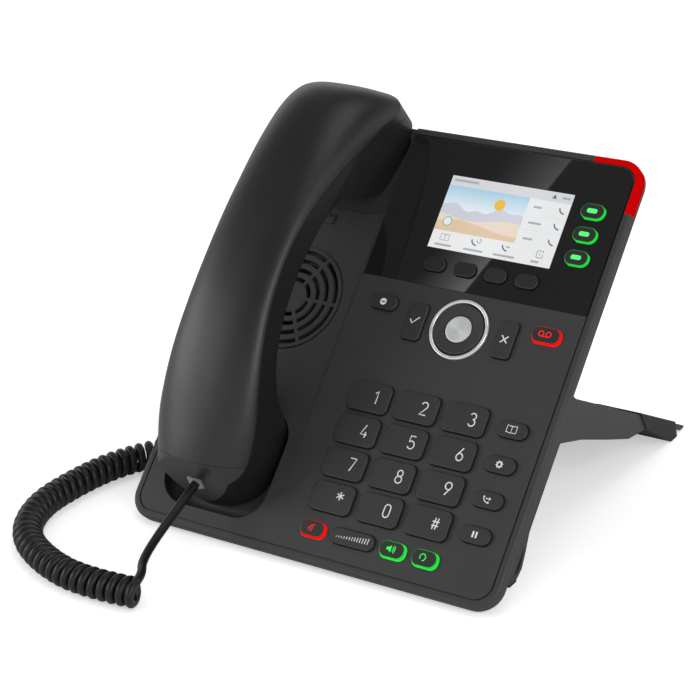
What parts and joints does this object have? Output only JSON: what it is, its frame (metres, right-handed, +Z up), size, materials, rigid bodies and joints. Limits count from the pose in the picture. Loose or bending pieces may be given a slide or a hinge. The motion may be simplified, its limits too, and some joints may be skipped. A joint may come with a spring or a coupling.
{
  "type": "desk ip phone",
  "caption": "Tilted desk telephone with corded handset on a left-hand cradle, colour display, soft keys, navigation ring, dial pad, lit call keys and a clip-on rear stand.",
  "frame": {"origin": "centre of the footprint on the desk, measured without the handset cord", "axes": "+X to the right of the keypad, +Y away from the user, +Z up; the front face leans back 46 degrees above the desk and faces -Y and +Z"},
  "size_m": [0.2333, 0.2678, 0.1759],
  "materials": {
    "charcoal_shell": "fine matte texture",
    "handset_shell": "satin",
    "key_plastic": "satin",
    "lit_key_green": "satin top over a lit green edge",
    "lit_key_red": "satin top over a lit red edge",
    "window_gloss": "high gloss",
    "screen": "lit colour display",
    "call_light_red": "translucent red",
    "chrome": "polished",
    "brushed_disc": "radially brushed",
    "board_green": "solder mask",
    "silicone_mat": "matte",
    "speaker_parts": "matte",
    "jack_shell": "moulded",
    "screw_steel": "zinc plated",
    "foot_rubber": "matte",
    "clear_plug": "clear",
    "cord_black": "satin jacket"
  },
  "bodies": {
    "base": {"front_housing": "charcoal_shell", "rear_housing": "charcoal_shell", "display_window": "window_gloss", "lcd_module": "screen", "call_light": "call_light_red", "main_board": "board_green", "keypad_mat": "silicone_mat", "loudspeaker": "speaker_parts", "hang_tab": "charcoal_shell", "line_jacks": "jack_shell", "power_jack": "jack_shell", "housing_screws": "screw_steel", "nav_chrome_ring": "chrome", "stand": "charcoal_shell", "stand_feet": "foot_rubber", "base_plug": "clear_plug", "cord_lead": "cord_black", "cord_coil": "cord_black", "cord_tail": "cord_black"},
    "handset": {"handset_back_shell": "handset_shell", "handset_front_shell": "handset_shell", "earpiece_receiver": "speaker_parts", "handset_microphone": "speaker_parts", "handset_jack": "jack_shell", "handset_plug": "clear_plug"},
    "hook_switch": {"hook_switch": "key_plastic"},
    "volume_rocker": {"volume_rocker": "key_plastic"},
    "nav_pivot": {"nav_pivot": "key_plastic"},
    "nav_ring": {"nav_ring": "key_plastic"},
    "nav_centre_button": {"nav_centre_button": "brushed_disc"},
    "key_1": {"key_1": "key_plastic"},
    "key_2": {"key_2": "key_plastic"},
    "key_3": {"key_3": "key_plastic"},
    "key_4": {"key_4": "key_plastic"},
    "key_5": {"key_5": "key_plastic"},
    "key_6": {"key_6": "key_plastic"},
    "key_7": {"key_7": "key_plastic"},
    "key_8": {"key_8": "key_plastic"},
    "key_9": {"key_9": "key_plastic"},
    "key_star": {"key_star": "key_plastic"},
    "key_0": {"key_0": "key_plastic"},
    "key_hash": {"key_hash": "key_plastic"},
    "directory_key": {"directory_key": "key_plastic"},
    "settings_key": {"settings_key": "key_plastic"},
    "transfer_key": {"transfer_key": "key_plastic"},
    "hold_key": {"hold_key": "key_plastic"},
    "soft_key_1": {"soft_key_1": "key_plastic"},
    "soft_key_2": {"soft_key_2": "key_plastic"},
    "soft_key_3": {"soft_key_3": "key_plastic"},
    "soft_key_4": {"soft_key_4": "key_plastic"},
    "function_key_1": {"function_key_1": "lit_key_green"},
    "function_key_2": {"function_key_2": "lit_key_green"},
    "function_key_3": {"function_key_3": "lit_key_green"},
    "retrieve_key": {"retrieve_key": "lit_key_red"},
    "mute_key": {"mute_key": "lit_key_red"},
    "speaker_key": {"speaker_key": "lit_key_green"},
    "headset_key": {"headset_key": "lit_key_green"},
    "dnd_key": {"dnd_key": "key_plastic"},
    "confirm_key": {"confirm_key": "key_plastic"},
    "cancel_key": {"cancel_key": "key_plastic"}
  },
  "joints": [
    {"name": "key_1_press", "type": "slide", "parent": "base", "child": "key_1", "axis": [0, 0.7193, -0.6947], "range_m": [0, 0.001], "stiffness_N_per_m": 500, "springref_m": -0.0008},
    {"name": "key_2_press", "type": "slide", "parent": "base", "child": "key_2", "axis": [0, 0.7193, -0.6947], "range_m": [0, 0.001], "stiffness_N_per_m": 500, "springref_m": -0.0008},
    {"name": "key_3_press", "type": "slide", "parent": "base", "child": "key_3", "axis": [0, 0.7193, -0.6947], "range_m": [0, 0.001], "stiffness_N_per_m": 500, "springref_m": -0.0008},
    {"name": "key_4_press", "type": "slide", "parent": "base", "child": "key_4", "axis": [0, 0.7193, -0.6947], "range_m": [0, 0.001], "stiffness_N_per_m": 500, "springref_m": -0.0008},
    {"name": "key_5_press", "type": "slide", "parent": "base", "child": "key_5", "axis": [0, 0.7193, -0.6947], "range_m": [0, 0.001], "stiffness_N_per_m": 500, "springref_m": -0.0008},
    {"name": "key_6_press", "type": "slide", "parent": "base", "child": "key_6", "axis": [0, 0.7193, -0.6947], "range_m": [0, 0.001], "stiffness_N_per_m": 500, "springref_m": -0.0008},
    {"name": "key_7_press", "type": "slide", "parent": "base", "child": "key_7", "axis": [0, 0.7193, -0.6947], "range_m": [0, 0.001], "stiffness_N_per_m": 500, "springref_m": -0.0008},
    {"name": "key_8_press", "type": "slide", "parent": "base", "child": "key_8", "axis": [0, 0.7193, -0.6947], "range_m": [0, 0.001], "stiffness_N_per_m": 500, "springref_m": -0.0008},
    {"name": "key_9_press", "type": "slide", "parent": "base", "child": "key_9", "axis": [0, 0.7193, -0.6947], "range_m": [0, 0.001], "stiffness_N_per_m": 500, "springref_m": -0.0008},
    {"name": "key_star_press", "type": "slide", "parent": "base", "child": "key_star", "axis": [0, 0.7193, -0.6947], "range_m": [0, 0.001], "stiffness_N_per_m": 500, "springref_m": -0.0008},
    {"name": "key_0_press", "type": "slide", "parent": "base", "child": "key_0", "axis": [0, 0.7193, -0.6947], "range_m": [0, 0.001], "stiffness_N_per_m": 500, "springref_m": -0.0008},
    {"name": "key_hash_press", "type": "slide", "parent": "base", "child": "key_hash", "axis": [0, 0.7193, -0.6947], "range_m": [0, 0.001], "stiffness_N_per_m": 500, "springref_m": -0.0008},
    {"name": "directory_key_press", "type": "slide", "parent": "base", "child": "directory_key", "axis": [0, 0.7193, -0.6947], "range_m": [0, 0.001], "stiffness_N_per_m": 450, "springref_m": -0.0008},
    {"name": "settings_key_press", "type": "slide", "parent": "base", "child": "settings_key", "axis": [0, 0.7193, -0.6947], "range_m": [0, 0.001], "stiffness_N_per_m": 450, "springref_m": -0.0008},
    {"name": "transfer_key_press", "type": "slide", "parent": "base", "child": "transfer_key", "axis": [0, 0.7193, -0.6947], "range_m": [0, 0.001], "stiffness_N_per_m": 450, "springref_m": -0.0008},
    {"name": "hold_key_press", "type": "slide", "parent": "base", "child": "hold_key", "axis": [0, 0.7193, -0.6947], "range_m": [0, 0.001], "stiffness_N_per_m": 450, "springref_m": -0.0008},
    {"name": "soft_key_1_press", "type": "slide", "parent": "base", "child": "soft_key_1", "axis": [0, 0.7193, -0.6947], "range_m": [0, 0.001], "stiffness_N_per_m": 450, "springref_m": -0.0008},
    {"name": "soft_key_2_press", "type": "slide", "parent": "base", "child": "soft_key_2", "axis": [0, 0.7193, -0.6947], "range_m": [0, 0.001], "stiffness_N_per_m": 450, "springref_m": -0.0008},
    {"name": "soft_key_3_press", "type": "slide", "parent": "base", "child": "soft_key_3", "axis": [0, 0.7193, -0.6947], "range_m": [0, 0.001], "stiffness_N_per_m": 450, "springref_m": -0.0008},
    {"name": "soft_key_4_press", "type": "slide", "parent": "base", "child": "soft_key_4", "axis": [0, 0.7193, -0.6947], "range_m": [0, 0.001], "stiffness_N_per_m": 450, "springref_m": -0.0008},
    {"name": "function_key_1_press", "type": "slide", "parent": "base", "child": "function_key_1", "axis": [0, 0.7193, -0.6947], "range_m": [0, 0.001], "stiffness_N_per_m": 450, "springref_m": -0.0008},
    {"name": "function_key_2_press", "type": "slide", "parent": "base", "child": "function_key_2", "axis": [0, 0.7193, -0.6947], "range_m": [0, 0.001], "stiffness_N_per_m": 450, "springref_m": -0.0008},
    {"name": "function_key_3_press", "type": "slide", "parent": "base", "child": "function_key_3", "axis": [0, 0.7193, -0.6947], "range_m": [0, 0.001], "stiffness_N_per_m": 450, "springref_m": -0.0008},
    {"name": "retrieve_key_press", "type": "slide", "parent": "base", "child": "retrieve_key", "axis": [0, 0.7193, -0.6947], "range_m": [0, 0.001], "stiffness_N_per_m": 450, "springref_m": -0.0008},
    {"name": "mute_key_press", "type": "slide", "parent": "base", "child": "mute_key", "axis": [0, 0.7193, -0.6947], "range_m": [0, 0.001], "stiffness_N_per_m": 450, "springref_m": -0.0008},
    {"name": "speaker_key_press", "type": "slide", "parent": "base", "child": "speaker_key", "axis": [0, 0.7193, -0.6947], "range_m": [0, 0.001], "stiffness_N_per_m": 450, "springref_m": -0.0008},
    {"name": "headset_key_press", "type": "slide", "parent": "base", "child": "headset_key", "axis": [0, 0.7193, -0.6947], "range_m": [0, 0.001], "stiffness_N_per_m": 450, "springref_m": -0.0008},
    {"name": "dnd_key_press", "type": "slide", "parent": "base", "child": "dnd_key", "axis": [0, 0.7193, -0.6947], "range_m": [0, 0.001], "stiffness_N_per_m": 450, "springref_m": -0.0008},
    {"name": "confirm_key_press", "type": "slide", "parent": "base", "child": "confirm_key", "axis": [0, 0.7193, -0.6947], "range_m": [0, 0.001], "stiffness_N_per_m": 450, "springref_m": -0.0008},
    {"name": "cancel_key_press", "type": "slide", "parent": "base", "child": "cancel_key", "axis": [0, 0.7193, -0.6947], "range_m": [0, 0.001], "stiffness_N_per_m": 450, "springref_m": -0.0008},
    {"name": "handset_lift", "type": "slide", "parent": "base", "child": "handset", "axis": [0, -0.7193, 0.6947], "range_m": [0, 0.07], "deforming": ["cord_lead"]},
    {"name": "hook_switch_rise", "type": "slide", "parent": "base", "child": "hook_switch", "axis": [0, -0.7193, 0.6947], "range_m": [0, 0.003]},
    {"name": "volume_rocker_tilt", "type": "hinge", "parent": "base", "child": "volume_rocker", "pos_m": [0.0216, -0.0849, 0.0129], "axis": [0, 0.6947, 0.7193], "range_deg": [-2, 2], "stiffness_Nm_per_rad": 0.6},
    {"name": "nav_tilt_updown", "type": "hinge", "parent": "base", "child": "nav_pivot", "pos_m": [0.0353, -0.01337, 0.08451], "axis": [1, 0, 0], "range_deg": [-2, 2], "stiffness_Nm_per_rad": 0.8},
    {"name": "nav_tilt_sideways", "type": "hinge", "parent": "nav_pivot", "child": "nav_ring", "pos_m": [0.0353, -0.01373, 0.08486], "axis": [0, 0.6947, 0.7193], "range_deg": [-2, 2], "stiffness_Nm_per_rad": 0.8},
    {"name": "nav_centre_press", "type": "slide", "parent": "nav_ring", "child": "nav_centre_button", "axis": [0, 0.7193, -0.6947], "range_m": [0, 0.0006], "stiffness_N_per_m": 600, "springref_m": -0.0008}
  ],
  "couplings": [
    {"joint": "hook_switch_rise", "follows": "handset_lift", "ratio": 0.042856}
  ]
}
